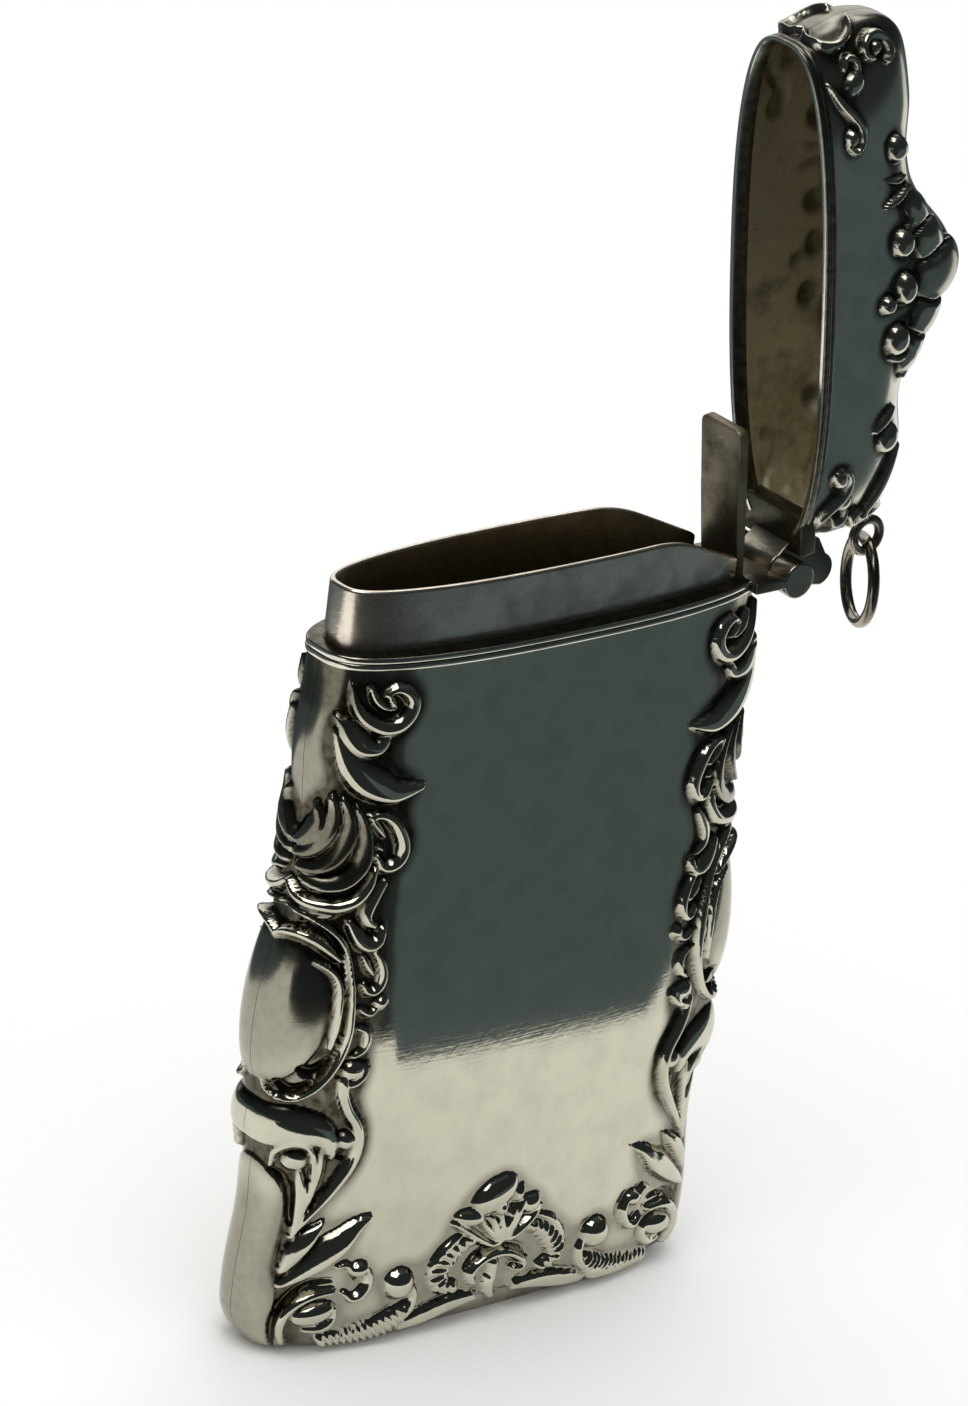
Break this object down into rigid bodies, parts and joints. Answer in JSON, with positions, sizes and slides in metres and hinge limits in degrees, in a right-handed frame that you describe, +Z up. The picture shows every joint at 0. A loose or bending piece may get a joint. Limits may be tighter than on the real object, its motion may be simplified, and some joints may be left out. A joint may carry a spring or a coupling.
{
  "type": "vesta case",
  "caption": "Upright pocket match case of chased silver with scroll borders, a hinged lid with crest and lever, inner liner, ribbed striker base and a hanging ring.",
  "frame": {"origin": "middle of the flat underside of the striker base, on which the case stands", "axes": "+X along the width towards the hinge, +Y through the depth from the front to the back, +Z up"},
  "size_m": [0.0561, 0.012, 0.098],
  "materials": {
    "silver": "polished silver with tarnish in the hollows",
    "dull_silver": "dull tarnished silver",
    "steel": "dull worn steel"
  },
  "bodies": {
    "case": {"body_front_shell": "silver", "body_back_shell": "silver", "base_striker": "dull_silver", "body_liner": "dull_silver", "body_rim_moulding": "silver", "hinge_knuckle_front": "silver", "hinge_knuckle_back": "silver", "hinge_pin": "steel", "spring_block": "dull_silver", "leaf_spring": "steel", "spring_rivets": "steel"},
    "lid": {"lid_front_shell": "silver", "lid_back_shell": "silver", "lid_rim_moulding": "silver", "lid_hinge_leaf": "silver", "lid_lever": "steel", "ring_loop": "silver"},
    "ring": {"suspension_ring": "silver"}
  },
  "joints": [
    {"name": "lid_hinge", "type": "hinge", "parent": "case", "child": "lid", "pos_m": [0.02175, 0, 0.0552], "axis": [0, 1, 0], "range_deg": [-82, 0]},
    {"name": "ring_swing", "type": "hinge", "parent": "lid", "child": "ring", "pos_m": [0.03173, 0, 0.05522], "axis": [0.3987, 0.9171, 0], "range_deg": [-120, 60]}
  ]
}
